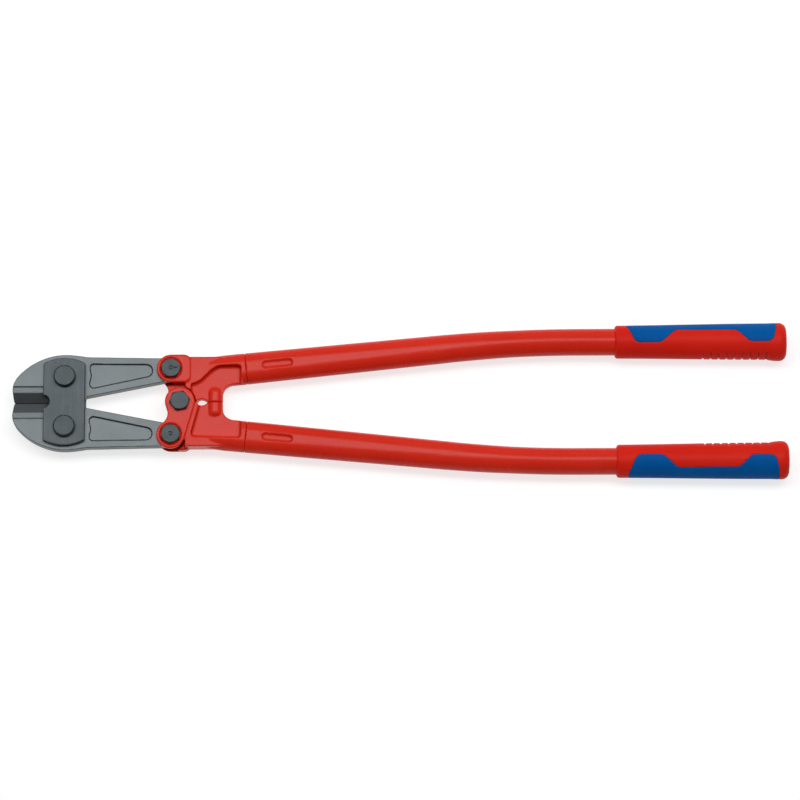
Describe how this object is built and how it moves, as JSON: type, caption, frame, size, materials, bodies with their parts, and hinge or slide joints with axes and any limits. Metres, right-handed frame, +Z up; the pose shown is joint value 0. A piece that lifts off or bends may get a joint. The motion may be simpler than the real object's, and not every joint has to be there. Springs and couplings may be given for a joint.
{
  "type": "bolt cutters",
  "caption": "Long-handled compound-lever bolt cutters with pivoted forged jaws, link plates, red tubular handles and two-tone grips.",
  "frame": {"origin": "centre of the plan outline, on the plane the tool rests on when it lies on its back", "axes": "+X along the tool from the jaws to the grips, +Y across it towards the upper handle, +Z up out of the face with the round bolt heads"},
  "size_m": [0.76, 0.1566, 0.0344],
  "materials": {
    "jaw_steel": "forged and ground alloy steel, satin",
    "link_steel": "dark machined steel plate",
    "bolt_steel": "blackened steel, lightly polished",
    "red_enamel": "gloss red enamel",
    "grip_red": "semi-gloss moulded red",
    "grip_blue": "soft blue moulding, satin",
    "plug_plastic": "black moulded plug"
  },
  "bodies": {
    "link_plates": {"front_link_plate": "link_steel", "back_link_plate": "link_steel", "upper_link_bolt": "bolt_steel", "lower_link_bolt": "bolt_steel", "upper_link_nut": "bolt_steel", "lower_link_nut": "bolt_steel"},
    "upper_jaw": {"upper_jaw": "jaw_steel"},
    "lower_jaw": {"lower_jaw": "jaw_steel"},
    "upper_handle": {"upper_handle_head": "red_enamel", "upper_handle_tube": "red_enamel", "upper_tube_plug": "plug_plastic", "upper_grip": "grip_red", "upper_grip_inlay": "grip_blue", "upper_jaw_bolt": "bolt_steel", "upper_jaw_nut": "bolt_steel"},
    "lower_handle": {"lower_handle_head": "red_enamel", "lower_handle_tube": "red_enamel", "lower_tube_plug": "plug_plastic", "lower_grip": "grip_red", "lower_grip_inlay": "grip_blue", "lower_jaw_bolt": "bolt_steel", "lower_jaw_nut": "bolt_steel", "centre_bolt": "bolt_steel", "centre_washer": "bolt_steel", "centre_nut": "bolt_steel"}
  },
  "joints": [
    {"name": "centre_pivot", "type": "hinge", "parent": "upper_handle", "child": "lower_handle", "pos_m": [-0.2157, 0, 0.0172], "axis": [0, 0, -1], "range_deg": [0, 80]},
    {"name": "upper_jaw_pivot", "type": "hinge", "parent": "link_plates", "child": "upper_jaw", "pos_m": [-0.3285, 0.025, 0.0172], "axis": [0, 0, -1], "range_deg": [0, 6.8]},
    {"name": "lower_jaw_pivot", "type": "hinge", "parent": "link_plates", "child": "lower_jaw", "pos_m": [-0.3285, -0.025, 0.0172], "axis": [0, 0, 1], "range_deg": [0, 6.8]},
    {"name": "upper_tail_pivot", "type": "hinge", "parent": "upper_jaw", "child": "upper_handle", "pos_m": [-0.2245, 0.033, 0.0172], "axis": [0, 0, 1], "range_deg": [0, 46.8]}
  ],
  "couplings": [
    {"joint": "upper_jaw_pivot", "follows": "centre_pivot", "ratio": 0.085},
    {"joint": "lower_jaw_pivot", "follows": "centre_pivot", "ratio": 0.085},
    {"joint": "upper_tail_pivot", "follows": "centre_pivot", "ratio": 0.585}
  ]
}
